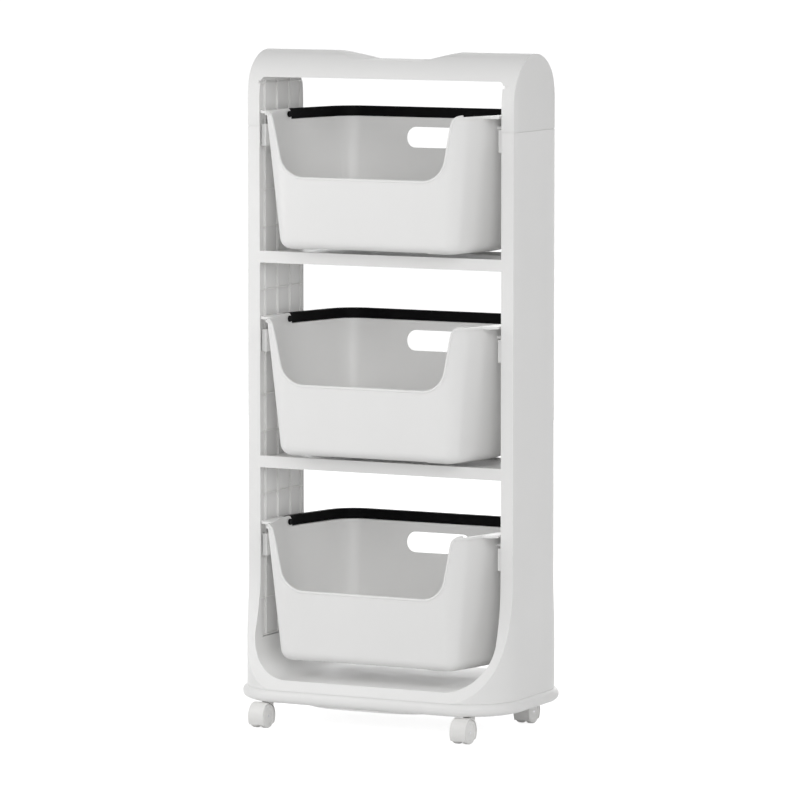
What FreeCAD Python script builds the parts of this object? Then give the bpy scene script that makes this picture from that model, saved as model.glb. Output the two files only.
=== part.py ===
"""Narrow storage cart on casters: a hollow frame with three hanging baskets, each with a bail handle.

Millimetres, +Z up, origin on the floor under the middle of the cart. The front faces -Y.
"""

import FreeCAD, Part
import math
import os
import re

import Sketcher

Vector = FreeCAD.Vector
Rotation = FreeCAD.Rotation
Placement = FreeCAD.Placement

# Driving sizes: name, value, what it measures
SIZES = [
    ("wheel_radius", 16.5, "caster wheel"),
    ("wheel_width", 9.0, "caster wheel"),
    ("wheel_round", 2.0, "edge of a caster wheel"),
    ("wheel_dish", 0.8, "hub recess in the outer face of a wheel"),
    ("wheel_rim", 5.5, "rim left round the hub recess"),
    ("axle_radius", 2.0, "caster axle"),
    ("stem_radius", 4.0, "swivel stem"),
    ("stem_depth", 7.4, "top of a hood down to the foot of its stem"),
    ("stem_grip", 14.0, "stem above the underside of the base"),
    ("socket_wall", 5.0, "boss of the base round a stem"),
    ("hood_gap", 0.6, "hood to wheel"),
    ("hood_wall", 1.3, "shell of a hood over its wheels"),
    ("hood_web", 5.0, "web of a hood between its wheels"),
    ("hood_shy", 0.2, "hood short of the outer faces of its wheels"),
    ("hood_foot", 5.0, "floor to the lower edge of a hood"),
    ("boss_wall", 4.0, "boss of a hood round its stem"),
    ("boss_depth", 14.9, "boss of a hood from top to foot"),
    ("caster_gap", 1.1, "top of a hood to the underside of the base"),
    ("caster_trail", 18.0, "swivel axis to the axle"),
    ("caster_inset", 49.5, "flat of a side panel in to a swivel axis"),
    ("caster_set_back", 23.0, "front of the foot back to a swivel axis"),
    ("base_height", 17.0, "flange of the base"),
    ("base_band", 1.0, "flat band between the two rounds of the flange"),
    ("base_overhang", 6.0, "flange of the base out from the foot"),
    ("base_wall", 4.0, "bottom of the base plate"),
    ("base_rim", 16.0, "rim of the base plate in from its edge"),
    ("belly_drop", 3.0, "belly of the base below the flange"),
    ("belly_land", 0.5, "upright edge of the belly over its round"),
    ("belly_side_gap", 12.5, "swivel axis in to the belly"),
    ("belly_front_inset", 6.0, "edge of the flange back to the belly"),
    ("belly_flat", 12.0, "half the shortest straight edge of the belly"),
    ("column_half_depth", 64.0, "middle of the cart to the front of a column"),
    ("column_width", 20.0, "front of a column from side to side"),
    ("foot_half_depth", 122.0, "middle of the cart to the front of the foot"),
    ("plan_corner_radius", 75.0, "corner of the foot seen from above"),
    ("sill_rise", 13.0, "base plate up to the top of the sill"),
    ("low_rise", 62.0, "base plate up to the seam over the lower frame"),
    ("flare_rise", 157.0, "base plate up to where the columns begin to sweep out"),
    ("beam_gap", 45.0, "rim of the top basket to the underside of the top beam"),
    ("beam_height", 36.0, "top beam at its crown"),
    ("cap_drop", 22.0, "rim of the top basket down to the seam under the cap"),
    ("shell_wall", 3.0, "wall of the hollow frame mouldings"),
    ("seam_height", 0.8, "groove along the seam under the cap"),
    ("seam_depth", 1.2, "groove along the seam under the cap"),
    ("window_low_radius", 64.0, "lower inner corner of the front opening"),
    ("window_top_radius", 6.0, "upper inner corner of the front opening"),
    ("grip_half_flat", 49.0, "half the flat of the saddle grip"),
    ("grip_ramp", 45.0, "run of a grip ramp from the flat to the crown"),
    ("grip_depth", 11.7, "crown down to the flat of the grip"),
    ("grip_foot_radius", 18.0, "hollow round at the foot of a grip ramp"),
    ("grip_brow_radius", 40.0, "round at the brow of a grip ramp"),
    ("grip_lead", 40.0, "run of the grip cut past each brow"),
    ("liner_wall", 3.0, "plate of an inner liner"),
    ("liner_gap", 5.0, "top of an inner liner to the top beam"),
    ("rib_height", 3.0, "ribs of a liner stand this far out"),
    ("rib_width", 2.0, "upright rib of a liner"),
    ("rib_first", 18.0, "front of a column to the first upright rib"),
    ("rib_pitch", 36.0, "one upright rib to the next"),
    ("rib_margin", 5.0, "rear of a column to the last upright rib"),
    ("cross_rib_width", 1.6, "level rib of a liner"),
    ("cross_rib_top", 5.5, "top of a liner down to its highest level rib"),
    ("cross_rib_foot", 1.0, "foot of a liner up to its lowest level rib"),
    ("cross_rib_step", 51.0, "lowest level rib up to the next"),
    ("tier_pitch", 280.0, "one basket to the next"),
    ("foot_gap", 25.5, "sill to the underside of the bottom basket"),
    ("shelf_gap", 6.5, "underside of a basket to the lip of its shelf"),
    ("shelf_height", 16.0, "shelf over its lip"),
    ("shelf_plate", 3.0, "plate and skirt of a shelf"),
    ("shelf_recess", 3.0, "lip of a shelf over its plate"),
    ("shelf_lip", 6.0, "width of the lip of a shelf"),
    ("basket_half_width", 172.0, "middle of a basket to its side wall at the rim"),
    ("basket_half_depth", 124.0, "middle of a basket to its front wall at the rim"),
    ("basket_corner_radius", 38.0, "upright corner of a basket at the rim"),
    ("side_taper", 14.0, "side walls close in to the front and rear, degrees"),
    ("side_bow_radius", 150.0, "round of a side wall at its middle"),
    ("basket_height", 184.5, "rim of a basket to its underside"),
    ("basket_draft", 6.0, "slope of the basket walls, degrees"),
    ("basket_wall", 2.5, "wall of a basket"),
    ("basket_foot_radius", 16.5, "round at the foot of the basket walls"),
    ("recess_half_width", 88.0, "half the recess between the feet of a basket"),
    ("foot_rise", 1.7, "feet of a basket below its recess"),
    ("horn_width", 35.5, "side wall in to the front cut-out at the rim"),
    ("horn_radius", 12.0, "round at the top of a horn"),
    ("horn_lead", 30.0, "run of the cut past each horn"),
    ("cutout_lean", 18.0, "front cut-out narrows by this much on each side"),
    ("cutout_depth", 87.5, "rim down to the foot of the front cut-out"),
    ("cutout_radius", 36.0, "lower corner of the front cut-out"),
    ("slot_half_length", 49.5, "half the hand slot in the rear wall"),
    ("slot_top", 28.0, "rim down to the top of the hand slot"),
    ("slot_height", 28.0, "height of the hand slot"),
    ("slot_end_flat", 1.0, "flat between the two rounds at an end of the hand slot"),
    ("ledge_drop", 15.0, "rim down to the ledge behind the pivots"),
    ("ledge_thick", 3.5, "ledge and rim flange"),
    ("ledge_reach", 7.0, "ledge and rim wings out from the widest part of the wall"),
    ("ledge_front", 40.0, "middle of a basket to the front end of its ledge"),
    ("ledge_inset", 62.0, "rear wall in to the rear end of a ledge wing"),
    ("rim_reach", 2.0, "rim bead out from the wall"),
    ("rim_inset", 58.0, "front wall in to the front end of a rim wing"),
    ("reach_ramp", 8.0, "slanted end of a wing"),
    ("bay_clearance", 3.0, "wings of a basket to the columns"),
    ("pivot_ahead", 5.0, "middle of a basket forward to the handle pivots"),
    ("ear_margin", 0.5, "full-height wall past the eye of a handle"),
    ("ear_radius", 7.0, "round at the rear end of the full-height walls"),
    ("ear_lead", 4.0, "run of the cut past that round"),
    ("handle_height", 14.0, "band of a handle"),
    ("handle_thick", 7.0, "thickness of a handle"),
    ("pin_radius", 2.5, "pivot pin of a handle"),
    ("pin_head_radius", 4.3, "round head of a pivot pin"),
    ("pin_head_thick", 2.0, "head of a pivot pin"),
    ("runner_height", 30.0, "runner block"),
    ("runner_inset", 6.0, "front of a column back to a runner"),
    ("runner_reach", 7.0, "runner out from the column"),
    ("run_clearance", 0.05, "turning fits, each side"),
    ("side_clearance", 0.3, "moving faces that pass or rest on each other"),
    ("overrun", 5.0, "cuts run past the solid by this much"),
    ("cut_skim", 0.3, "a cut with a rounded brow passes over the top face by this much"),
]
ALIASES = {name for name, value, meaning in SIZES}

# Sizes that follow from the driving ones
DERIVED = {
    "hood_radius": "wheel_radius + hood_gap + hood_wall",
    "hood_top": "wheel_radius + hood_radius",
    "hood_half_width": "hood_web / 2 + side_clearance + wheel_width - hood_shy",
    "hood_boss_radius": "stem_radius + boss_wall",
    "hood_boss_bottom": "hood_top - boss_depth",
    "wheel_dish_radius": "wheel_radius - wheel_rim",
    "stem_bottom": "hood_top - stem_depth",
    "stem_top": "base_underside + stem_grip",
    "socket_radius": "stem_radius + socket_wall",
    "base_underside": "hood_top + caster_gap",
    "base_round": "(base_height - base_band) / 2",
    "foot_level": "base_underside + base_height",
    "sill_level": "foot_level + sill_rise",
    "low_seam": "foot_level + low_rise",
    "flare_start": "foot_level + flare_rise",
    "flare_run": "foot_half_depth - column_half_depth",
    "flare_radius": "(flare_rise^2 + flare_run^2) / (2 * flare_run)",
    "bottom_rim": "sill_level + foot_gap + basket_height",
    "top_rim": "bottom_rim + 2 * tier_pitch",
    "beam_level": "top_rim + beam_gap",
    "crown_level": "beam_level + beam_height",
    "cap_seam": "top_rim - cap_drop",
    "liner_top": "beam_level - liner_gap",
    "wing_half_width": "basket_half_width + ledge_reach",
    "window_half_width": "wing_half_width + bay_clearance",
    "outer_half_width": "window_half_width + column_width",
    "grip_half_width": "grip_half_flat + grip_ramp",
    "caster_half_span": "outer_half_width - caster_inset",
    "caster_half_track": "foot_half_depth - caster_set_back",
    "belly_half_width": "caster_half_span - belly_side_gap",
    "belly_half_depth": "foot_half_depth + base_overhang - belly_front_inset",
    "belly_radius": "min(belly_half_depth; belly_half_width) - belly_flat",
    "belly_round": "belly_drop - belly_land",
    "shelf_drop": "basket_height + shelf_gap + shelf_height",
    "runner_half_length": "column_half_depth - runner_inset",
    "wall_slope": "tan(basket_draft)",
    "basket_floor": "basket_height - foot_rise - basket_wall",
    "cutout_half_top": "basket_half_width - horn_width",
    "cutout_half_foot": "cutout_half_top - cutout_lean",
    "slot_radius": "(slot_height - slot_end_flat) / 2",
    "ledge_rear": "basket_half_depth - ledge_inset",
    "rim_front": "basket_half_depth - rim_inset",
    "pivot_back": "-pivot_ahead",
    "pivot_level": "-ledge_drop + side_clearance + handle_height / 2",
    "ear_back": "pivot_back + handle_height / 2 + ear_margin",
}
COLUMN_SIDES = (("left", -1), ("right", 1))
TIERS = ("top", "middle", "bottom")
PITCHED_RIBS = 3
CASTERS = (("front_left", -1, -1), ("front_right", 1, -1), ("rear_left", -1, 1), ("rear_right", 1, 1))

doc = FreeCAD.newDocument("storage_cart")
sheet = doc.addObject("Spreadsheet::Sheet", "Sizes")
for row, (alias, value, meaning) in enumerate(SIZES, 1):
    sheet.set(f"A{row}", meaning)
    sheet.set(f"B{row}", str(value))
    sheet.setAlias(f"B{row}", alias)
doc.recompute()

nodes = []


def formula(text):
    """Expression in driving sizes alone, each pointing into the sheet."""

    def spelled_out(match):
        word = match.group()
        if word in DERIVED:
            return f"({formula(DERIVED[word])})"
        return f"Sizes.{word}" if word in ALIASES else word

    return re.sub(r"[a-z_]+", spelled_out, text)


def number(text):
    """Value of an expression at the present sizes."""
    return float(sheet.evalExpression(formula(text)))


def bind(thing, **sizes):
    """Binds properties of a document object to expressions."""
    for prop, text in sizes.items():
        thing.setExpression(prop, formula(text))
    return thing


def place(thing, x="0", y="0", z="0", turn=None):
    """Puts a document object at a point given by expressions, turned if asked."""
    if turn is not None:
        thing.Placement = Placement(Vector(), turn)
    for axis, text in zip("xyz", (x, y, z)):
        if text != "0":
            thing.setExpression(f"Placement.Base.{axis}", formula(text))
    return thing


def node(thing, label):
    """Keeps a document object as a sub-part under its own name."""
    thing.Label = label
    nodes.append(thing)
    return thing


# Sketch outlines


def pin_point(sketch, geometry, across, up):
    """Ties a construction point to its two distances from the sketch origin."""
    for kind, text, axis in (("DistanceX", across, -2), ("DistanceY", up, -1)):
        if text == "0":
            sketch.addConstraint(Sketcher.Constraint("PointOnObject", geometry, 1, axis))
            continue
        index = sketch.addConstraint(Sketcher.Constraint(kind, -1, 1, geometry, 1, number(text)))
        sketch.setExpression(f"Constraints[{index}]", formula(text))


def outline(sketch, corners):
    """Closed outline through corners (across, up, radius); a radius of None leaves the corner sharp."""
    points = [Vector(number(across), number(up), 0) for across, up, radius in corners]
    radii = [number(radius) if radius else 0.0 for across, up, radius in corners]
    count = len(points)
    entries = []
    for i, point in enumerate(points):
        before = (points[i - 1] - point).normalize()
        after = (points[(i + 1) % count] - point).normalize()
        half_angle = before.getAngle(after) / 2
        setback = radii[i] / math.tan(half_angle)
        left_turn = before.cross(after).z < 0
        centre = point + (before + after).normalize() * (radii[i] / math.sin(half_angle))
        entries.append((point + before * setback, point + after * setback, centre, left_turn))
    marks = [sketch.addGeometry(Part.Point(point), True) for point in points]
    for mark, (across, up, radius) in zip(marks, corners):
        pin_point(sketch, mark, across, up)
    lines = []
    for i in range(count):
        start = entries[i][1]
        end = entries[(i + 1) % count][0]
        lines.append(sketch.addGeometry(Part.LineSegment(start, end), False))
    for i, (across, up, radius) in enumerate(corners):
        incoming = lines[i - 1]
        outgoing = lines[i]
        if not radius:
            sketch.addConstraint(Sketcher.Constraint("Coincident", incoming, 2, marks[i], 1))
            sketch.addConstraint(Sketcher.Constraint("Coincident", outgoing, 1, marks[i], 1))
            continue
        sketch.addConstraint(Sketcher.Constraint("PointOnObject", marks[i], 1, incoming))
        sketch.addConstraint(Sketcher.Constraint("PointOnObject", marks[i], 1, outgoing))
        first, last, centre, left_turn = entries[i]
        start, end = (first, last) if left_turn else (last, first)
        start_angle = math.atan2(start.y - centre.y, start.x - centre.x)
        end_angle = math.atan2(end.y - centre.y, end.x - centre.x)
        circle = Part.Circle(centre, Vector(0, 0, 1), radii[i])
        arc = sketch.addGeometry(Part.ArcOfCircle(circle, start_angle, end_angle), False)
        arc_in, arc_out = (1, 2) if left_turn else (2, 1)
        sketch.addConstraint(Sketcher.Constraint("Tangent", incoming, 2, arc, arc_in))
        sketch.addConstraint(Sketcher.Constraint("Tangent", arc, arc_out, outgoing, 1))
        index = sketch.addConstraint(Sketcher.Constraint("Radius", arc, radii[i]))
        sketch.setExpression(f"Constraints[{index}]", formula(radius))


def rounded_rectangle(half_width, half_depth, radius):
    """Corners of a rounded rectangle about the sketch origin."""
    return [
        (f"{half_width}", f"{half_depth}", radius),
        (f"-({half_width})", f"{half_depth}", radius),
        (f"-({half_width})", f"-({half_depth})", radius),
        (f"{half_width}", f"-({half_depth})", radius),
    ]


def circle_at(sketch, across, up, radius):
    """Circle tied to its centre and radius."""
    centre = Vector(number(across), number(up), 0)
    ring = sketch.addGeometry(Part.Circle(centre, Vector(0, 0, 1), number(radius)), False)
    for kind, text in (("DistanceX", across), ("DistanceY", up)):
        index = sketch.addConstraint(Sketcher.Constraint(kind, -1, 1, ring, 3, number(text)))
        sketch.setExpression(f"Constraints[{index}]", formula(text))
    index = sketch.addConstraint(Sketcher.Constraint("Radius", ring, number(radius)))
    sketch.setExpression(f"Constraints[{index}]", formula(radius))


# Free-standing solids and their combinations

FLAT = Rotation()
FRONT_VIEW = Rotation(Vector(1, 0, 0), 90)
SIDE_VIEW = Rotation(Vector(1, 1, 1), 120)
ALONG = {
    "x": Rotation(Vector(0, 1, 0), 90),
    "y": Rotation(Vector(1, 0, 0), -90),
    "z": Rotation(),
}


def block(name, x, y, z):
    """Box between pairs of levels."""
    solid = doc.addObject("Part::Box", name)
    for size, axis, (low, high) in zip(("Length", "Width", "Height"), "xyz", (x, y, z)):
        solid.setExpression(size, formula(f"({high}) - ({low})"))
        solid.setExpression(f"Placement.Base.{axis}", formula(low))
    return solid


def rod(name, radius, length, axis, x="0", y="0", z="0"):
    """Cylinder that starts at a point and runs along an axis."""
    solid = doc.addObject("Part::Cylinder", name)
    bind(solid, Radius=radius, Height=length)
    return place(solid, x, y, z, ALONG[axis])


def side_span(sign, near, far):
    """Range across the cart between two distances from its middle, on the side given by the sign."""
    return (near, far) if sign > 0 else (f"-({far})", f"-({near})")


def prism(name, turn, corners, ahead, behind):
    """Outline drawn out to both sides of its plane."""
    sketch = doc.addObject("Sketcher::SketchObject", f"{name}_outline")
    sketch.Placement = Placement(Vector(), turn)
    outline(sketch, corners)
    solid = doc.addObject("Part::Extrusion", name)
    solid.Base = sketch
    solid.DirMode = "Normal"
    solid.Solid = True
    return bind(solid, LengthFwd=ahead, LengthRev=behind)


def joined(name, *solids):
    """One solid from several."""
    solid = doc.addObject("Part::MultiFuse", name)
    solid.Shapes = list(solids)
    solid.Refine = True
    return solid


def shared(name, *solids):
    """What several solids have in common."""
    solid = doc.addObject("Part::MultiCommon", name)
    solid.Shapes = list(solids)
    solid.Refine = True
    return solid


def less(name, base, tool):
    """One solid less another."""
    solid = doc.addObject("Part::Cut", name)
    solid.Base = base
    solid.Tool = tool
    solid.Refine = True
    return solid


# Features of a body


def sketch_on(body, name, plane, offset="0"):
    """Sketch on one of a body's own planes, moved along the plane's normal."""
    sketch = body.newObject("Sketcher::SketchObject", name)
    support = [feature for feature in body.Origin.OriginFeatures if feature.Role == plane]
    sketch.AttachmentSupport = [(support[0], "")]
    sketch.MapMode = "FlatFace"
    if offset != "0":
        sketch.setExpression("AttachmentOffset.Base.z", formula(offset))
    return sketch


def draw_out(body, kind, sketch, length, reverse=False, draft=None):
    """Pad or pocket of a sketch by a length."""
    feature = body.newObject(f"PartDesign::{kind}", f"{sketch.Name}_{kind.lower()}")
    feature.Profile = sketch
    feature.Reversed = reverse
    bind(feature, Length=length)
    if draft:
        bind(feature, TaperAngle=draft)
    sketch.Visibility = False
    doc.recompute()
    return feature


def round_edges(body, name, radius, wanted):
    """Rounds the edges of a body for which wanted(edge) holds."""
    doc.recompute()
    base = body.Tip
    names = [f"Edge{i}" for i, edge in enumerate(base.Shape.Edges, 1) if wanted(edge)]
    fillet = body.newObject("PartDesign::Fillet", name)
    fillet.Base = (base, names)
    bind(fillet, Radius=radius)
    doc.recompute()
    return fillet


def level_edge(height):
    """Test for edges that lie at one height of their body."""
    return lambda edge: all(abs(v.Z - number(height)) < number("run_clearance") for v in edge.Vertexes)


def flat_edge(edge):
    """Holds for edges whose ends lie at the same height."""
    return abs(edge.Vertexes[0].Z - edge.Vertexes[-1].Z) < number("run_clearance")


# Hollow frame: one envelope with a window, cut at its seams into cap, side panels and lower frame


def envelope(name, inset):
    """Outside of the frame, drawn in by an inset."""
    half_width = f"outer_half_width - {inset}"
    half_depth = f"foot_half_depth - {inset}"
    column = f"column_half_depth - {inset}"
    crown_centre = "crown_level - column_half_depth"
    width = f"2 * ({half_width})"
    ground = rounded_rectangle(half_width, half_depth, f"plan_corner_radius - {inset}")
    footprint = prism(f"{name}_footprint", FLAT, ground, "crown_level", "0")
    sides = (f"-({half_width})", half_width)
    trunk = block(f"{name}_trunk", sides, (f"-({column})", column), ("foot_level", crown_centre))
    loaf = rod(f"{name}_loaf", column, width, "x", f"-({half_width})", "0", crown_centre)
    foot = block(f"{name}_foot", sides, (f"-({half_depth})", half_depth), ("foot_level", "flare_start"))
    for side, sign in (("front", "-1"), ("rear", "1")):
        away = f"{sign} * (column_half_depth + flare_radius)"
        sweep = rod(f"{name}_{side}_sweep", f"flare_radius + {inset}", f"{width} + 2 * overrun", "x",
                    f"-({half_width}) - overrun", away, "flare_start")
        foot = less(f"{name}_{side}_flare", foot, sweep)
    profile = joined(f"{name}_profile", trunk, loaf, foot)
    return shared(name, footprint, profile)


def window(name, growth):
    """Front opening from the sill to the top beam, grown by a wall."""
    half_width = f"window_half_width + {growth}"
    low = f"sill_level - {growth}"
    high = f"beam_level + {growth}"
    top_radius = f"window_top_radius + {growth}"
    low_radius = f"window_low_radius + {growth}"
    corners = [
        (half_width, high, top_radius),
        (f"-({half_width})", high, top_radius),
        (f"-({half_width})", low, low_radius),
        (half_width, low, low_radius),
    ]
    reach = "foot_half_depth + overrun"
    return prism(name, FRONT_VIEW, corners, reach, reach)


def grip(name, growth):
    """Saddle cut across the crown, grown by a wall."""
    flat = f"crown_level - grip_depth - {growth}"
    brow = f"crown_level + cut_skim - {growth}"
    sky = "crown_level + overrun"
    end = "grip_half_width + grip_lead"
    corners = [
        (end, sky, None),
        (f"-({end})", sky, None),
        (f"-({end})", brow, None),
        ("-grip_half_width", brow, "grip_brow_radius"),
        ("-grip_half_flat", flat, "grip_foot_radius"),
        ("grip_half_flat", flat, "grip_foot_radius"),
        ("grip_half_width", brow, "grip_brow_radius"),
        (end, brow, None),
    ]
    reach = "column_half_depth + overrun"
    return prism(name, FRONT_VIEW, corners, reach, reach)


windowed = less("frame_block", envelope("frame_outside", "0"), window("window", "0"))
skin = less("frame_skin", windowed, grip("grip", "0"))
hollow = less("frame_hollow", envelope("frame_inside", "shell_wall"), window("window_wall", "shell_wall"))
hollow = less("frame_hollow_gripped", hollow, grip("grip_wall", "shell_wall"))
frame_shell = less("frame_shell", skin, hollow)
ACROSS = ("-outer_half_width - overrun", "outer_half_width + overrun")
ALONG_DEPTH = ("-foot_half_depth - overrun", "foot_half_depth + overrun")
RIGHT_HALF = ("0", "outer_half_width + overrun")

LINER_PLATE = "window_half_width + rib_height"
LINER_BACK = f"{LINER_PLATE} + liner_wall"
LINER_DEPTH = ("shell_wall - column_half_depth", "column_half_depth - shell_wall")
LINER_LEVELS = ("low_seam", "liner_top")
liner_bays = []
for side, sign in COLUMN_SIDES:
    span = side_span(sign, "window_half_width - window_low_radius", LINER_BACK)
    liner_bays.append(block(f"{side}_liner_bay", span, LINER_DEPTH, LINER_LEVELS))
seam_slab = block("seam_slab", ACROSS, ALONG_DEPTH, ("cap_seam", "cap_seam + seam_height"))
seam_groove = less("seam_groove", seam_slab, envelope("seam_core", "seam_depth"))
cap_blank = shared("cap_blank", frame_shell,
                   block("cap_slab", ACROSS, ALONG_DEPTH, ("cap_seam", "crown_level + overrun")))
node(less("top_cap_solid", cap_blank, joined("cap_cuts", seam_groove, *liner_bays)), "top_cap")
panel_blank = shared("panel_blank", frame_shell,
                     block("panel_slab", RIGHT_HALF, ALONG_DEPTH, ("low_seam", "cap_seam")))
right_panel = node(less("right_panel_solid", panel_blank, liner_bays[1]), "right_side_panel")
left_panel = doc.addObject("Part::Mirroring", "left_panel_solid")
left_panel.Source = right_panel
left_panel.Normal = Vector(1, 0, 0)
node(left_panel, "left_side_panel")
node(shared("lower_frame_solid", frame_shell,
            block("lower_slab", ACROSS, ALONG_DEPTH, ("foot_level", "low_seam"))), "lower_frame")


def rim_of(tier):
    """Height of the rim of a basket, counted from the top one."""
    return f"top_rim - {tier} * tier_pitch"


# Inner liners with a grid of ribs

rib_fronts = [f"rib_first + {index} * rib_pitch - column_half_depth" for index in range(PITCHED_RIBS)]
rib_fronts.append("column_half_depth - rib_margin - rib_width")
for side, sign in COLUMN_SIDES:
    plate = block(f"{side}_liner_plate", side_span(sign, LINER_PLATE, LINER_BACK), LINER_DEPTH, LINER_LEVELS)
    rib_span = side_span(sign, "window_half_width", LINER_PLATE)
    ribs = []
    for index, front in enumerate(rib_fronts):
        rib_depth = (front, f"{front} + rib_width")
        ribs.append(block(f"{side}_upright_rib_{index}", rib_span, rib_depth, LINER_LEVELS))
    for tier in range(len(TIERS)):
        levels = [
            f"liner_top - cross_rib_top - {tier} * tier_pitch",
            f"low_seam + cross_rib_foot + {tier} * tier_pitch",
            f"low_seam + cross_rib_foot + cross_rib_step + {tier} * tier_pitch",
        ]
        for index, level in enumerate(levels):
            rib_levels = (level, f"{level} + cross_rib_width")
            ribs.append(block(f"{side}_level_rib_{tier}_{index}", rib_span, LINER_DEPTH, rib_levels))
    node(joined(f"{side}_liner_solid", plate, *ribs), f"{side}_inner_liner")

# Runners that carry the baskets

RUNNER_DEPTH = ("-runner_half_length", "runner_half_length")
for tier, tier_name in enumerate(TIERS):
    top = f"{rim_of(tier)} - ledge_drop - ledge_thick - side_clearance"
    for side, sign in COLUMN_SIDES:
        span = side_span(sign, "window_half_width - runner_reach", "window_half_width")
        levels = (f"{top} - runner_height", top)
        runner = block(f"{side}_{tier_name}_runner_solid", span, RUNNER_DEPTH, levels)
        node(runner, f"{side}_{tier_name}_runner")

# Shelves

for tier, tier_name in enumerate(TIERS[:2]):
    low = f"{rim_of(tier)} - shelf_drop"
    high = f"{low} + shelf_height"
    width = ("-window_half_width", "window_half_width")
    depth = ("-column_half_depth", "column_half_depth")
    inner_width = ("-window_half_width + shelf_plate", "window_half_width - shelf_plate")
    inner_depth = ("-column_half_depth + shelf_plate", "column_half_depth - shelf_plate")
    tray_depth = ("-column_half_depth + shelf_lip", "column_half_depth - shelf_lip")
    through = ("-window_half_width - overrun", "window_half_width + overrun")
    whole = block(f"{tier_name}_shelf_block", width, depth, (low, high))
    under = block(f"{tier_name}_shelf_under", inner_width, inner_depth,
                  (f"{low} - overrun", f"{high} - shelf_recess - shelf_plate"))
    above = block(f"{tier_name}_shelf_tray", through, tray_depth,
                  (f"{high} - shelf_recess", f"{high} + overrun"))
    hollow_shelf = less(f"{tier_name}_shelf_skirt", whole, under)
    node(less(f"{tier_name}_shelf_solid", hollow_shelf, above), f"{tier_name}_shelf")

# Base plate: bullnose flange, shallow belly, caster sockets

base = doc.addObject("PartDesign::Body", "base_body")
flange = sketch_on(base, "flange", "XY_Plane", "base_underside")
outline(flange, rounded_rectangle("outer_half_width + base_overhang", "foot_half_depth + base_overhang",
                                  "plan_corner_radius + base_overhang"))
draw_out(base, "Pad", flange, "foot_level - base_underside")
round_edges(base, "bullnose", "base_round", flat_edge)
belly = sketch_on(base, "belly", "XY_Plane", "base_underside")
outline(belly, rounded_rectangle("belly_half_width", "belly_half_depth", "belly_radius"))
draw_out(base, "Pad", belly, "belly_drop", reverse=True)
round_edges(base, "belly_edge", "belly_round", level_edge("base_underside - belly_drop"))
well = sketch_on(base, "well", "XY_Plane", "base_underside + base_wall")
outline(well, rounded_rectangle("outer_half_width + base_overhang - base_rim",
                                "foot_half_depth + base_overhang - base_rim",
                                "plan_corner_radius + base_overhang - base_rim"))
draw_out(base, "Pocket", well, "foot_level - base_underside - base_wall + overrun", reverse=True)
bosses = sketch_on(base, "bosses", "XY_Plane", "base_underside + base_wall")
bores = sketch_on(base, "bores", "XY_Plane", "base_underside - overrun")
for name, sideways, lengthways in CASTERS:
    centre = (f"{sideways} * caster_half_span", f"{lengthways} * caster_half_track")
    circle_at(bosses, *centre, "socket_radius")
    circle_at(bores, *centre, "stem_radius + run_clearance")
draw_out(base, "Pad", bosses, "foot_level - base_underside - base_wall")
draw_out(base, "Pocket", bores, "stem_top - base_underside + overrun + side_clearance", reverse=True)
node(base, "base_plate")

# Baskets


def mirrored(half):
    """Outline from its right half, listed from one end of the middle line to the other."""
    return half + [(f"-({x})", y, radius) for x, y, radius in reversed(half)]


def plan(out):
    """Outline of a basket at its rim seen from above, grown outwards; the sides are widest at the middle."""
    middle = f"basket_half_width + side_bow_radius * (1 / cos(side_taper) - 1) + ({out}) / cos(side_taper)"
    end = f"basket_half_depth + {out}"
    corner = f"{middle} - ({end}) * tan(side_taper)"
    right = [
        (corner, f"-({end})", f"basket_corner_radius + {out}"),
        (middle, "0", f"side_bow_radius + {out}"),
        (corner, end, f"basket_corner_radius + {out}"),
    ]
    return mirrored(right)


def collar(name, reach, wing, keep, top):
    """Band round a basket with a wing on each side, kept over one range from front to rear."""
    seat = f"({top} + ledge_thick) * wall_slope + basket_wall / 2"
    height = f"-({top})"
    ring = place(prism(f"{name}_ring", FLAT, plan(reach), "0", "ledge_thick"), z=height)
    wings = place(prism(f"{name}_wings", FLAT, mirrored(wing), "0", "ledge_thick"), z=height)
    inside = prism(f"{name}_inside", FLAT, plan(f"-({seat})"), "0", "basket_height")
    band = less(f"{name}_band", joined(f"{name}_outside", ring, wings), inside)
    across = ("-wing_half_width - overrun", "wing_half_width + overrun")
    return shared(name, band, block(f"{name}_keep", across, keep, ("-basket_height", "overrun")))


def ledge(name):
    """Ledge round the sides and rear, on which the handle rests and by which the basket hangs."""
    wing = [
        ("wing_half_width", "-ledge_front", None),
        ("wing_half_width", "ledge_rear", None),
        ("wing_half_width - reach_ramp", "ledge_rear + reach_ramp", None),
    ]
    keep = ("-ledge_front", "basket_half_depth + handle_thick + overrun")
    return collar(name, "handle_thick + side_clearance", wing, keep, "ledge_drop")


def rim_flange(name):
    """Flange at the rim, from the handle eyes round the front corners."""
    rear_end = "pivot_back - handle_height / 2 - 2 * side_clearance"
    wing = [
        ("wing_half_width - reach_ramp", "-rim_front - reach_ramp", None),
        ("wing_half_width", "-rim_front", None),
        ("wing_half_width", rear_end, None),
    ]
    keep = ("-basket_half_depth - rim_reach - overrun", rear_end)
    return collar(name, "rim_reach", wing, keep, "0")


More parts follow.
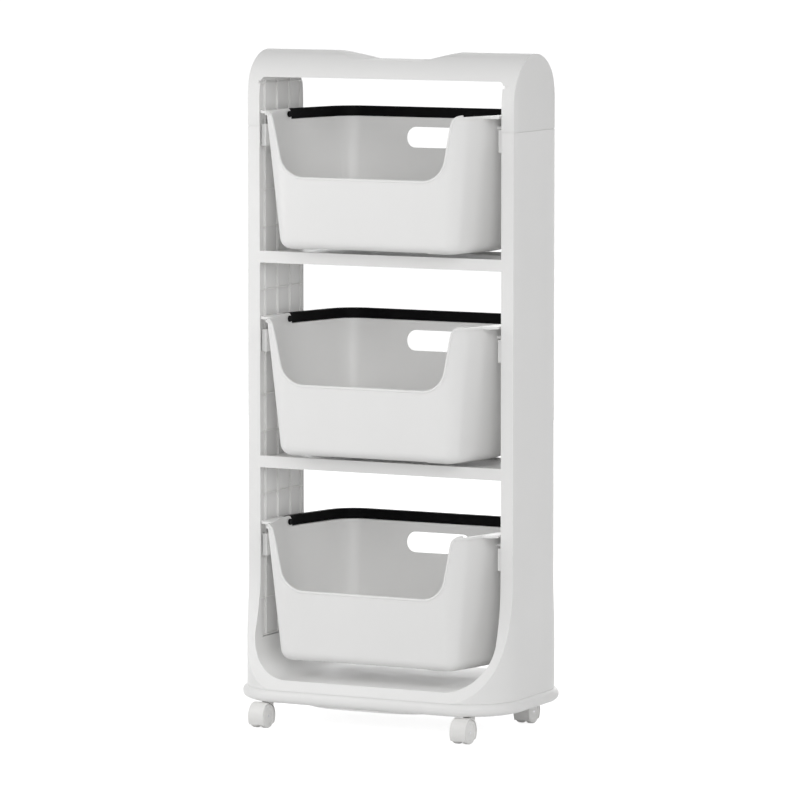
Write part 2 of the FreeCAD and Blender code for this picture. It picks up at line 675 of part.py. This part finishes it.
def drafted_walls(name):
    """Open shell with sloping walls and a rounded foot, rim at height zero."""
    body = doc.addObject("PartDesign::Body", name)
    walls = sketch_on(body, f"{name}_outside", "XY_Plane")
    outline(walls, plan("0"))
    draw_out(body, "Pad", walls, "basket_height", reverse=True, draft="-basket_draft")
    inside = sketch_on(body, f"{name}_inside", "XY_Plane")
    outline(inside, plan("-basket_wall"))
    draw_out(body, "Pocket", inside, "basket_floor", draft="-basket_draft")
    inner_round = "min(basket_foot_radius; basket_corner_radius - basket_height * wall_slope) - basket_wall"
    round_edges(body, f"{name}_inner_foot", inner_round, level_edge("-basket_floor"))
    outer_round = "min(basket_foot_radius; basket_corner_radius - basket_height * wall_slope - run_clearance)"
    round_edges(body, f"{name}_foot", outer_round, level_edge("-basket_height"))
    return body


def rear_step(name):
    """Cut over the ledge, which leaves a rounded ear of full-height wall at each pivot."""
    far = "basket_half_depth + overrun"
    corners = [
        ("ear_back", "-ledge_drop", None),
        (far, "-ledge_drop", None),
        (far, "overrun", None),
        ("ear_back - ear_radius - ear_lead", "overrun", None),
        ("ear_back - ear_radius - ear_lead", "cut_skim", None),
        ("ear_back", "cut_skim", "ear_radius"),
    ]
    reach = "wing_half_width + overrun"
    return prism(name, SIDE_VIEW, corners, reach, reach)


def front_cutout(name):
    """Cut through the front wall, with rounded horns beside it."""
    end = "cutout_half_top + horn_lead"
    half = [
        (end, "overrun", None),
        (end, "cut_skim", None),
        ("cutout_half_top", "cut_skim", "horn_radius"),
        ("cutout_half_foot", "-cutout_depth", "cutout_radius"),
    ]
    return prism(name, FRONT_VIEW, mirrored(half), "basket_half_depth + rim_reach + overrun", "0")


def hand_slot(name):
    """Cut through the rear wall."""
    low = "-slot_top - slot_height"
    half = [
        ("slot_half_length", "-slot_top", "slot_radius"),
        ("slot_half_length", low, "slot_radius"),
    ]
    return prism(name, FRONT_VIEW, mirrored(half), "0", "basket_half_depth + overrun")


def basket(label, rim):
    """Drafted basket that hangs from its ledge, rim at the height given."""
    blank = joined(f"{label}_blank", drafted_walls(f"{label}_walls"), ledge(f"{label}_ledge"),
                   rim_flange(f"{label}_flange"))
    reach = "basket_half_width + overrun"
    recess_depth = ("-basket_half_depth - overrun", "basket_half_depth + overrun")
    recess_levels = ("-basket_height - overrun", "-basket_height + foot_rise")
    cuts = [
        rear_step(f"{label}_step"),
        front_cutout(f"{label}_cutout"),
        hand_slot(f"{label}_slot"),
        rod(f"{label}_pivot_holes", "pin_radius", f"2 * ({reach})", "x",
            f"-({reach})", "pivot_back", "pivot_level"),
        block(f"{label}_recess", ("-recess_half_width", "recess_half_width"), recess_depth, recess_levels),
    ]
    whole = less(f"{label}_solid", blank, joined(f"{label}_cuts", *cuts))
    return node(place(whole, z=rim), label)


def handle(label, rim):
    """Bail of one flat band round the rear of a basket, with an eye at each end."""
    level = f"{rim} + pivot_level"
    outer = "side_clearance + handle_thick"
    half_height = "handle_height / 2"
    hoop = less(f"{label}_hoop", prism(f"{label}_outside", FLAT, plan(outer), half_height, half_height),
                prism(f"{label}_inside", FLAT, plan("side_clearance"), half_height, half_height))
    reach = f"basket_half_width + {outer} + overrun"
    rear_half = block(f"{label}_rear_half", (f"-({reach})", reach),
                      ("pivot_back", "basket_half_depth + handle_thick + overrun"),
                      ("-handle_height", "handle_height"))
    pieces = [shared(f"{label}_band", hoop, rear_half)]
    for side, sign in COLUMN_SIDES:
        start = side_span(sign, "basket_half_width + side_clearance", f"basket_half_width + {outer}")[0]
        pieces.append(rod(f"{label}_{side}_eye", half_height, "handle_thick", "x", start, "pivot_back"))
    blank = joined(f"{label}_blank", *pieces)
    hole = rod(f"{label}_hole", "pin_radius + run_clearance", f"2 * ({reach})", "x",
               f"-({reach})", "pivot_back")
    return node(place(less(f"{label}_solid", blank, hole), z=level), label)


def pivot_pins(label, rim):
    """Pair of headed pins that carry a handle."""
    level = f"{rim} + pivot_level"
    head_far = "(pivot_ahead + pin_head_radius)"
    bow = "(side_bow_radius - basket_wall)"
    bow_sag = f"({bow} - sqrt({bow}^2 - {head_far}^2))"
    wall_inside = "basket_half_width - basket_wall + (pivot_level - pin_head_radius) * wall_slope"
    inner_face = f"{wall_inside} - {bow_sag} - run_clearance"
    tip = "basket_half_width + side_clearance + handle_thick"
    pins = []
    for side, sign in COLUMN_SIDES:
        shank_start = side_span(sign, inner_face, tip)[0]
        head_start = side_span(sign, f"{inner_face} - pin_head_thick", inner_face)[0]
        shank = rod(f"{label}_{side}_shank", "pin_radius", f"{tip} - ({inner_face})", "x",
                    shank_start, "pivot_back", level)
        head = rod(f"{label}_{side}_head", "pin_head_radius", "pin_head_thick", "x",
                   head_start, "pivot_back", level)
        pins.append(joined(f"{label}_{side}_pin", shank, head))
    return node(joined(f"{label}_pair", *pins), label)


for tier, tier_name in enumerate(TIERS):
    basket(f"{tier_name}_basket", rim_of(tier))
    handle(f"{tier_name}_handle", rim_of(tier))
    pivot_pins(f"{tier_name}_handle_pins", rim_of(tier))

# Casters


def wheel(label, x, y, outward):
    """Disc wheel on a plain bore, dished on its outer face."""
    body = doc.addObject("PartDesign::Body", f"{label}_body")
    profile = sketch_on(body, f"{label}_profile", "XZ_Plane")
    bore = "axle_radius + run_clearance"
    outline(profile, [
        ("0", bore, None),
        ("wheel_width - wheel_dish", bore, None),
        ("wheel_width - wheel_dish", "wheel_dish_radius", None),
        ("wheel_width", "wheel_dish_radius + wheel_dish", None),
        ("wheel_width", "wheel_radius", "wheel_round"),
        ("0", "wheel_radius", "wheel_round"),
    ])
    turned = body.newObject("PartDesign::Revolution", f"{label}_disc")
    turned.Profile = profile
    turned.ReferenceAxis = (profile, ["H_Axis"])
    turned.Angle = 360
    turn = Rotation() if outward > 0 else Rotation(Vector(0, 0, 1), 180)
    start = f"({x}) + {outward} * (hood_web / 2 + side_clearance)"
    place(body, start, y, "wheel_radius", turn)
    return node(body, label)


def caster(name, sideways, lengthways):
    """Twin-wheel caster: hood on a swivel stem, axle and two wheels."""
    x = f"{sideways} * caster_half_span"
    y = f"{lengthways} * caster_half_track"
    axle_y = f"{y} - caster_trail"
    pocket_radius = "wheel_radius + hood_gap"
    hood_width = "2 * hood_half_width"
    left_face = f"{x} - hood_half_width"
    shell = rod(f"{name}_hood_shell", "hood_radius", hood_width, "x", left_face, axle_y, "wheel_radius")
    boss = rod(f"{name}_hood_boss", "hood_boss_radius", "boss_depth", "z", x, y, "hood_boss_bottom")
    blank = joined(f"{name}_hood_blank", shell, boss)
    well_width = "hood_half_width + overrun"
    right_well = f"{x} + hood_web / 2"
    left_well = f"{x} - hood_web / 2 - ({well_width})"
    mouth_width = (f"{left_face} - overrun", f"{x} + {well_width}")
    mouth_depth = (f"{axle_y} - hood_radius - overrun", f"{axle_y} + hood_radius + overrun")
    cuts = [
        rod(f"{name}_right_well", pocket_radius, well_width, "x", right_well, axle_y, "wheel_radius"),
        rod(f"{name}_left_well", pocket_radius, well_width, "x", left_well, axle_y, "wheel_radius"),
        rod(f"{name}_stem_hole", "stem_radius", "stem_top", "z", x, y, "stem_bottom"),
        rod(f"{name}_axle_hole", "axle_radius", hood_width, "x", left_face, axle_y, "wheel_radius"),
        block(f"{name}_hood_mouth", mouth_width, mouth_depth, ("-overrun", "hood_foot")),
    ]
    hood = less(f"{name}_hood_solid", blank, joined(f"{name}_hood_cuts", *cuts))
    node(hood, f"{name}_caster_hood")
    stem = rod(f"{name}_stem_solid", "stem_radius", "stem_top - stem_bottom", "z", x, y, "stem_bottom")
    node(stem, f"{name}_caster_stem")
    reach = "hood_web / 2 + side_clearance + wheel_width - wheel_dish"
    axle = rod(f"{name}_axle_solid", "axle_radius", f"2 * ({reach})", "x", f"{x} - ({reach})", axle_y,
               "wheel_radius")
    node(axle, f"{name}_caster_axle")
    wheel(f"{name}_left_wheel", x, axle_y, -1)
    wheel(f"{name}_right_wheel", x, axle_y, 1)


for name, sideways, lengthways in CASTERS:
    caster(name, sideways, lengthways)

# Check every object, then write each sub-part to its own file

doc.recompute()
faults = [thing.Name for thing in doc.Objects if {"Invalid", "Error"} & set(thing.State)]
faults += [thing.Label for thing in nodes if thing.Shape.isNull() or not thing.Shape.isValid()]
if faults:
    raise RuntimeError(f"these did not build: {faults}")
os.makedirs("parts", exist_ok=True)
for thing in nodes:
    thing.Shape.exportStep(f"parts/{thing.Label}.step")
print(f"{len(nodes)} sub-parts written")
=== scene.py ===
"""Looks of the storage cart: moulded plastics, a white studio and the photograph's camera.

Metres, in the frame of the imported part: +Z up, the baskets' open fronts face -Y.
"""

import math

import bpy
from mathutils import Matrix, Vector


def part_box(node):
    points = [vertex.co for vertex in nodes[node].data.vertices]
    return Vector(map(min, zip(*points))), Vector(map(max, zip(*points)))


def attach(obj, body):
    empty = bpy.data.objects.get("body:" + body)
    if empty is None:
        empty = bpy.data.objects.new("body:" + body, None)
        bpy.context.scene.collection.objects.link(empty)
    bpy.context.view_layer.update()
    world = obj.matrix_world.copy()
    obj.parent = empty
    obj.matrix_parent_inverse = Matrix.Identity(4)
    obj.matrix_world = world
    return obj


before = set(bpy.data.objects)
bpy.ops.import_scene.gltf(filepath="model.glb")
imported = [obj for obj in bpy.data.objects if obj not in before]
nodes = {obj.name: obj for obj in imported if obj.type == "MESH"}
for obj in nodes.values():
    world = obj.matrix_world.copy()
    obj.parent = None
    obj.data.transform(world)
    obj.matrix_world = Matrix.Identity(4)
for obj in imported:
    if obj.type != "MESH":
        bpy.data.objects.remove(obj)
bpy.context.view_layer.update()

TIERS = ("top", "middle", "bottom")
SIDES = ("left", "right")
CORNERS = ("front_left", "front_right", "rear_left", "rear_right")

# Camera of the photograph
CAMERA_TARGET = Vector((0.03147, -0.064, 0.451))
CAMERA_AZIMUTH = math.radians(26.73)
CAMERA_ELEVATION = math.radians(5.86)
CAMERA_DISTANCE = 7.469
CAMERA_LENS = 249.9
CAMERA_SENSOR = 36.0
CAMERA_REACH = 100.0

# Colours, each plastic with the tone of its faint clouds
PURE_WHITE = (1.0, 1.0, 1.0, 1.0)
SHELL_WHITE = (0.9, 0.898, 0.891)
SHELL_CLOUD = (0.885, 0.883, 0.875)
INNER_WHITE = (0.89, 0.887, 0.879)
INNER_CLOUD = (0.875, 0.872, 0.864)
HANDLE_BLACK = (0.003, 0.003, 0.0033)
HANDLE_CLOUD = (0.002, 0.002, 0.0022)
CASTER_WHITE = (0.88, 0.876, 0.862)
CASTER_CLOUD = (0.86, 0.855, 0.84)
TREAD_GREY = (0.76, 0.755, 0.74)
STEEL_LIGHT = (0.62, 0.62, 0.64)
STEEL_DARK = (0.5, 0.5, 0.52)

# Texture of the materials: scales in features to the metre, stretches along x, y and z
NOISE_RANGE = (0.3, 0.7)
FULL_RANGE = (0.0, 1.0)
NO_STRETCH = (1.0, 1.0, 1.0)
PLASTIC_IOR = 1.49
PLASTIC_SHINE = 0.5
CLOUD_SCALE = 9.0
GLOSS_SCALE = 42.0
WAVE_SCALE = 30.0
WAVE_HEIGHT = 0.00012
GRAIN_SCALE = 900.0
SCUFF_SCALE = 260.0
SCUFF_STRETCH = (3.0, 1.0, 1.0)
SCUFF_RANGE = (0.6, 1.3)
WHEEL_GRAIN_SCALE = 1900.0
TURNING_SCALE = 700.0
TURNING_STRETCH = (8.0, 1.0, 8.0)

# Finish of the moulded edges
WELD_DISTANCE = 1e-6
SMOOTH_BELOW = math.radians(28)

# Sizes of a basket that its lip follows, as in the part's source
BASKET_HALF_WIDTH = 0.172
BASKET_HALF_DEPTH = 0.124
CORNER_RADIUS = 0.038
SIDE_BOW_RADIUS = 0.15
SIDE_TAPER = math.radians(14)
WALL_SLOPE = math.tan(math.radians(6))
WALL = 0.0025
HORN_WIDTH = 0.0355
HORN_RADIUS = 0.012
HORN_LEAD = 0.03
CUTOUT_LEAN = 0.018
CUTOUT_DEPTH = 0.0875
CUTOUT_RADIUS = 0.036
CUT_SKIM = 0.0003
CUTOUT_HALF_TOP = BASKET_HALF_WIDTH - HORN_WIDTH
CUTOUT_HALF_FOOT = CUTOUT_HALF_TOP - CUTOUT_LEAN

# Rolled lip round the front cut-out of a basket
LIP_RADIUS = 0.0021
LIP_SIDES = 12
LIP_STEP = 0.002
FEWEST_ARC_STEPS = 2
REARWARD = Vector((0.0, 1.0, 0.0))

# Studio
WORLD_STRENGTH = 0.37
FLOOR_SIZE = 140.0
FLOOR_GREY = (0.82, 0.82, 0.82, 1.0)
FLOOR_ROUGHNESS = 0.9
FLOOR_GLOW = 0.8
LIGHT_TARGET = Vector((0.0, 0.0, 0.45))

# Lights: name, azimuth and elevation in degrees, distance, size, power in watts
LIGHTS = (
    ("key", -46.0, 50.0, 3.2, 0.8, 6.0),
    ("left_fill", -50.0, 14.0, 1.5, 0.9, 5.2),
    ("right_fill", 32.0, 20.0, 3.8, 2.4, 43.0),
    ("side_fill", 82.0, 14.0, 3.8, 2.0, 10.0),
    ("rear_fill", 198.0, 9.0, 3.8, 2.8, 34.0),
)


def direction(azimuth, elevation):
    """Unit vector from the cart to a place round it; azimuth 0 is in front and grows to the right."""
    level = math.cos(elevation)
    return Vector((math.sin(azimuth) * level, -math.cos(azimuth) * level, math.sin(elevation)))


# Node helpers


def add(tree, kind, inputs=None, **settings):
    """Adds a node with its settings and the values of its sockets."""
    made = tree.nodes.new(kind)
    for name, value in settings.items():
        setattr(made, name, value)
    for name, value in (inputs or {}).items():
        made.inputs[name].default_value = value
    return made


def noise(tree, place, scale, detail=2.0, roughness=0.5):
    """Noise at a place, so many features to the metre."""
    made = add(tree, "ShaderNodeTexNoise", {"Scale": scale, "Detail": detail, "Roughness": roughness})
    tree.links.new(place, made.inputs["Vector"])
    return made.outputs["Fac"]


def spread(tree, value, target, source=NOISE_RANGE):
    """Maps a value from the range where most noise lies, or another one, to a target range."""
    made = add(tree, "ShaderNodeMapRange", {"From Min": source[0], "From Max": source[1],
                                            "To Min": target[0], "To Max": target[1]})
    tree.links.new(value, made.inputs["Value"])
    return made.outputs["Result"]


def stretched(tree, place, factors):
    """Coordinates scaled along each axis."""
    made = add(tree, "ShaderNodeMapping", {"Scale": factors})
    tree.links.new(place, made.inputs["Vector"])
    return made.outputs["Vector"]


def blend_colours(tree, mask, first, second):
    """Colour between two by a mask."""
    made = add(tree, "ShaderNodeMix", data_type="RGBA")
    ends = [socket for socket in made.inputs if socket.type == "RGBA"]
    for socket, colour in zip(ends, (first, second)):
        socket.default_value = (*colour, 1.0)
    tree.links.new(mask, made.inputs["Factor"])
    return [socket for socket in made.outputs if socket.type == "RGBA"][0]


def bumped(tree, relief, height, normal=None):
    """Normal moved by a relief of the height given."""
    made = add(tree, "ShaderNodeBump", {"Strength": 1.0, "Distance": height})
    tree.links.new(relief, made.inputs["Height"])
    if normal is not None:
        tree.links.new(normal, made.inputs["Normal"])
    return made.outputs["Normal"]


def new_material(name):
    """Empty material with its shader and its own coordinates."""
    material = bpy.data.materials.new(name)
    material.use_nodes = True
    tree = material.node_tree
    return material, tree, tree.nodes["Principled BSDF"], add(tree, "ShaderNodeTexCoord")


# Materials


def moulded_plastic(name, colour, cloud_colour, roughness, grain_height,
                    streaks=NO_STRETCH, shine=PLASTIC_SHINE):
    """Injection-moulded plastic: faint clouds of tone, fine grain, slow waves and uneven gloss."""
    material, tree, shader, coordinates = new_material(name)
    place = coordinates.outputs["Object"]
    drawn = stretched(tree, place, streaks)
    clouds = spread(tree, noise(tree, drawn, CLOUD_SCALE, detail=4.0), FULL_RANGE)
    tree.links.new(blend_colours(tree, clouds, colour, cloud_colour), shader.inputs["Base Color"])
    uneven = noise(tree, drawn, GLOSS_SCALE, detail=5.0, roughness=0.6)
    tree.links.new(spread(tree, uneven, roughness), shader.inputs["Roughness"])
    waves = bumped(tree, noise(tree, drawn, WAVE_SCALE, detail=1.0), WAVE_HEIGHT)
    grain = bumped(tree, noise(tree, place, GRAIN_SCALE), grain_height, normal=waves)
    tree.links.new(grain, shader.inputs["Normal"])
    shader.inputs["IOR"].default_value = PLASTIC_IOR
    shader.inputs["Specular IOR Level"].default_value = shine
    return material


def wheel_plastic(name, colour, tread_colour, roughness, grain_height):
    """Nylon wheel: clean hub faces and a greyer, scuffed rolling face."""
    material, tree, shader, coordinates = new_material(name)
    place = coordinates.outputs["Object"]
    facing = add(tree, "ShaderNodeSeparateXYZ")
    tree.links.new(coordinates.outputs["Normal"], facing.inputs["Vector"])
    sideways = add(tree, "ShaderNodeMath", operation="ABSOLUTE")
    tree.links.new(facing.outputs["X"], sideways.inputs[0])
    scuffs = noise(tree, stretched(tree, place, SCUFF_STRETCH), SCUFF_SCALE, detail=6.0)
    rolling = add(tree, "ShaderNodeMath", operation="SUBTRACT", use_clamp=True)
    tree.links.new(spread(tree, scuffs, SCUFF_RANGE), rolling.inputs[0])
    tree.links.new(sideways.outputs["Value"], rolling.inputs[1])
    mask = rolling.outputs["Value"]
    tree.links.new(blend_colours(tree, mask, colour, tread_colour), shader.inputs["Base Color"])
    tree.links.new(spread(tree, mask, roughness, source=FULL_RANGE), shader.inputs["Roughness"])
    grain = bumped(tree, noise(tree, place, WHEEL_GRAIN_SCALE), grain_height)
    tree.links.new(grain, shader.inputs["Normal"])
    return material


def turned_steel(name, colour, mark_colour, roughness):
    """Bright steel with fine turning marks."""
    material, tree, shader, coordinates = new_material(name)
    drawn = stretched(tree, coordinates.outputs["Object"], TURNING_STRETCH)
    marks = noise(tree, drawn, TURNING_SCALE, detail=3.0)
    tree.links.new(spread(tree, marks, roughness), shader.inputs["Roughness"])
    tint = blend_colours(tree, spread(tree, marks, FULL_RANGE), colour, mark_colour)
    tree.links.new(tint, shader.inputs["Base Color"])
    shader.inputs["Metallic"].default_value = 1.0
    return material


SHELL = moulded_plastic("shell_white", SHELL_WHITE, SHELL_CLOUD,
                        roughness=(0.34, 0.42), grain_height=0.000012)
CAP = moulded_plastic("cap_white", SHELL_WHITE, SHELL_CLOUD,
                      roughness=(0.5, 0.6), grain_height=0.000016, shine=0.3)
BASKET = moulded_plastic("basket_white", SHELL_WHITE, SHELL_CLOUD,
                         roughness=(0.33, 0.42), grain_height=0.000014, streaks=(1.0, 1.0, 0.35))
INNER = moulded_plastic("inner_white", INNER_WHITE, INNER_CLOUD,
                        roughness=(0.42, 0.52), grain_height=0.00002)
BLACK = moulded_plastic("handle_black", HANDLE_BLACK, HANDLE_CLOUD,
                        roughness=(0.42, 0.54), grain_height=0.00003, streaks=(0.4, 0.4, 1.0), shine=0.06)
HOOD = moulded_plastic("caster_white", CASTER_WHITE, CASTER_CLOUD,
                       roughness=(0.36, 0.46), grain_height=0.00002)
WHEEL = wheel_plastic("wheel_white", CASTER_WHITE, TREAD_GREY,
                      roughness=(0.4, 0.62), grain_height=0.00003)
STEEL = turned_steel("turned_steel", STEEL_LIGHT, STEEL_DARK, roughness=(0.24, 0.42))

# Moulded edges: welded facets, smooth across shallow angles


def moulded_edges():
    """Modifier group that welds a solid's facets and shades shallow angles smooth."""
    group = bpy.data.node_groups.new("moulded_edges", "GeometryNodeTree")
    for way in ("INPUT", "OUTPUT"):
        group.interface.new_socket("Geometry", in_out=way, socket_type="NodeSocketGeometry")
    entry = add(group, "NodeGroupInput")
    weld = add(group, "GeometryNodeMergeByDistance", {"Distance": WELD_DISTANCE})
    faces = add(group, "GeometryNodeSetShadeSmooth", {"Shade Smooth": True}, domain="FACE")
    angle = add(group, "GeometryNodeInputMeshEdgeAngle")
    shallow = add(group, "FunctionNodeCompare", data_type="FLOAT", operation="LESS_THAN")
    shallow.inputs["B"].default_value = SMOOTH_BELOW
    edges = add(group, "GeometryNodeSetShadeSmooth", domain="EDGE")
    leave = add(group, "NodeGroupOutput")
    link = group.links.new
    link(entry.outputs["Geometry"], weld.inputs["Geometry"])
    link(weld.outputs["Geometry"], faces.inputs["Geometry"])
    link(angle.outputs["Unsigned Angle"], shallow.inputs["A"])
    link(faces.outputs["Geometry"], edges.inputs["Geometry"])
    link(shallow.outputs["Result"], edges.inputs["Shade Smooth"])
    link(edges.outputs["Geometry"], leave.inputs["Geometry"])
    return group


def dress(node_name, material, group):
    """Gives a solid its material and its moulded edges."""
    solid = nodes[node_name]
    solid.data.materials.clear()
    solid.data.materials.append(material)
    modifier = solid.modifiers.new("moulded_edges", "NODES")
    modifier.node_group = group


finish_of = {name: SHELL for name in ("lower_frame", "base_plate", "top_shelf", "middle_shelf")}
finish_of["top_cap"] = CAP
for side in SIDES:
    finish_of[f"{side}_side_panel"] = SHELL
    finish_of[f"{side}_inner_liner"] = INNER
    for tier in TIERS:
        finish_of[f"{side}_{tier}_runner"] = SHELL
for tier in TIERS:
    finish_of[f"{tier}_basket"] = BASKET
    finish_of[f"{tier}_handle"] = BLACK
    finish_of[f"{tier}_handle_pins"] = BLACK
for corner in CORNERS:
    finish_of[f"{corner}_caster_hood"] = HOOD
    finish_of[f"{corner}_caster_stem"] = STEEL
    finish_of[f"{corner}_caster_axle"] = STEEL
    for side in SIDES:
        finish_of[f"{corner}_{side}_wheel"] = WHEEL
edge_group = moulded_edges()
for node_name, material in finish_of.items():
    dress(node_name, material, edge_group)

# Rolled lip round each front cut-out


def rounded_path(corners):
    """Points along a path through corners (x, z, radius), each corner turned by an arc."""
    points = []
    for index, (x, z, radius) in enumerate(corners):
        corner = Vector((x, z))
        if not radius:
            points.append(corner)
            continue
        before = (Vector(corners[index - 1][:2]) - corner).normalized()
        after = (Vector(corners[index + 1][:2]) - corner).normalized()
        half_angle = before.angle(after) / 2
        middle = corner + (before + after).normalized() * (radius / math.sin(half_angle))
        run = radius / math.tan(half_angle)
        first = corner + before * run - middle
        turn = first.angle_signed(corner + after * run - middle)
        steps = max(FEWEST_ARC_STEPS, round(abs(turn) * radius / LIP_STEP))
        for step in range(steps + 1):
            swung = first.copy()
            swung.rotate(Matrix.Rotation(-turn * step / steps, 2))
            points.append(middle + swung)
    return points


def on_wall(x, z):
    """Point in the middle of the front wall's thickness, at a height from the rim."""
    out = z * WALL_SLOPE - WALL / 2
    widest = BASKET_HALF_WIDTH + SIDE_BOW_RADIUS * (1 / math.cos(SIDE_TAPER) - 1)
    centre_y = BASKET_HALF_DEPTH - CORNER_RADIUS
    centre_x = widest - (CORNER_RADIUS + centre_y * math.sin(SIDE_TAPER)) / math.cos(SIDE_TAPER)
    past = max(0.0, abs(x) - centre_x)
    return Vector((x, -centre_y - math.sqrt((CORNER_RADIUS + out) ** 2 - past ** 2), z))


def lip_path():
    """Middle line of the lip, from one horn round the cut-out to the other, heights from the rim."""
    right = [
        (CUTOUT_HALF_TOP + HORN_LEAD, CUT_SKIM, 0.0),
        (CUTOUT_HALF_TOP, CUT_SKIM, HORN_RADIUS),
        (CUTOUT_HALF_FOOT, -CUTOUT_DEPTH, CUTOUT_RADIUS),
    ]
    corners = right + [(-x, z, radius) for x, z, radius in reversed(right)]
    return [on_wall(point.x, point.y) for point in rounded_path(corners)[1:-1]]


def tube(name, path, radius, sides):
    """Round bar along a path, closed at both ends."""
    vertices = []
    for index, point in enumerate(path):
        ahead = (path[min(index + 1, len(path) - 1)] - path[max(index - 1, 0)]).normalized()
        inward = ahead.cross(REARWARD).normalized()
        across = ahead.cross(inward)
        for side in range(sides):
            angle = 2 * math.pi * side / sides
            vertices.append(point + (inward * math.cos(angle) + across * math.sin(angle)) * radius)
    faces = [list(reversed(range(sides))), list(range(len(vertices) - sides, len(vertices)))]
    for ring in range(len(path) - 1):
        for side in range(sides):
            near = ring * sides + side
            beside = ring * sides + (side + 1) % sides
            faces.append([near, beside, beside + sides, near + sides])
    mesh = bpy.data.meshes.new(name)
    mesh.from_pydata(vertices, [], faces)
    mesh.shade_smooth()
    bar = bpy.data.objects.new(name, mesh)
    bpy.context.scene.collection.objects.link(bar)
    return bar


for tier in TIERS:
    lip = tube(f"{tier}_basket_lip", lip_path(), LIP_RADIUS, LIP_SIDES)
    lip.location.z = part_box(f"{tier}_basket")[1].z
    lip.data.materials.append(BASKET)
    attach(lip, f"{tier}_basket_body")

# Studio


def white_to_camera(tree, lit, white, output):
    """White shader for camera, glossy and transmission rays, and the lit shader for all other rays."""
    path = add(tree, "ShaderNodeLightPath")
    total = path.outputs["Is Camera Ray"]
    for name in ("Is Glossy Ray", "Is Transmission Ray"):
        either = add(tree, "ShaderNodeMath", operation="MAXIMUM")
        tree.links.new(total, either.inputs[0])
        tree.links.new(path.outputs[name], either.inputs[1])
        total = either.outputs["Value"]
    mix = add(tree, "ShaderNodeMixShader")
    tree.links.new(total, mix.inputs["Fac"])
    tree.links.new(lit, mix.inputs[1])
    tree.links.new(white, mix.inputs[2])
    tree.links.new(mix.outputs["Shader"], output)


def studio_world():
    """Even white surroundings."""
    world = bpy.data.worlds.new("studio")
    bpy.context.scene.world = world
    world.use_nodes = True
    tree = world.node_tree
    lit = tree.nodes["Background"]
    lit.inputs["Color"].default_value = PURE_WHITE
    lit.inputs["Strength"].default_value = WORLD_STRENGTH
    white = add(tree, "ShaderNodeBackground", {"Color": PURE_WHITE})
    output = tree.nodes["World Output"].inputs["Surface"]
    white_to_camera(tree, lit.outputs["Background"], white.outputs["Background"], output)


def studio_floor():
    """Pale floor that glows nearly white to the camera and keeps a soft shadow."""
    bpy.ops.mesh.primitive_plane_add(size=FLOOR_SIZE, location=(0.0, 0.0, 0.0))
    floor = bpy.context.object
    floor.name = "studio_floor"
    material = bpy.data.materials.new("studio_floor")
    material.use_nodes = True
    tree = material.node_tree
    shader = tree.nodes["Principled BSDF"]
    shader.inputs["Base Color"].default_value = FLOOR_GREY
    shader.inputs["Roughness"].default_value = FLOOR_ROUGHNESS
    shader.inputs["Specular IOR Level"].default_value = 0.0
    lit = shader.outputs["BSDF"]
    glow = add(tree, "ShaderNodeEmission", {"Strength": FLOOR_GLOW})
    white = add(tree, "ShaderNodeAddShader")
    tree.links.new(glow.outputs["Emission"], white.inputs[0])
    tree.links.new(lit, white.inputs[1])
    output = tree.nodes["Material Output"].inputs["Surface"]
    white_to_camera(tree, lit, white.outputs["Shader"], output)
    floor.data.materials.append(material)


def soft_light(name, azimuth, elevation, distance, size, power):
    """Square soft light aimed at the middle of the cart."""
    lamp = bpy.data.lights.new(name, "AREA")
    lamp.shape = "SQUARE"
    lamp.size = size
    lamp.energy = power
    holder = bpy.data.objects.new(name, lamp)
    bpy.context.scene.collection.objects.link(holder)
    away = direction(math.radians(azimuth), math.radians(elevation))
    holder.location = LIGHT_TARGET + away * distance
    holder.rotation_euler = away.to_track_quat("Z", "Y").to_euler()
    holder.visible_camera = False


studio_world()
studio_floor()
for light in LIGHTS:
    soft_light(*light)

# Camera


def photo_camera():
    """Camera at the photograph's viewing angle."""
    data = bpy.data.cameras.new("photo_camera")
    data.lens = CAMERA_LENS
    data.sensor_width = CAMERA_SENSOR
    data.clip_end = CAMERA_REACH
    camera = bpy.data.objects.new("photo_camera", data)
    bpy.context.scene.collection.objects.link(camera)
    away = direction(CAMERA_AZIMUTH, CAMERA_ELEVATION)
    camera.location = CAMERA_TARGET + away * CAMERA_DISTANCE
    camera.rotation_euler = away.to_track_quat("Z", "Y").to_euler()
    bpy.context.scene.camera = camera


photo_camera()
bpy.context.scene.view_settings.view_transform = "Standard"
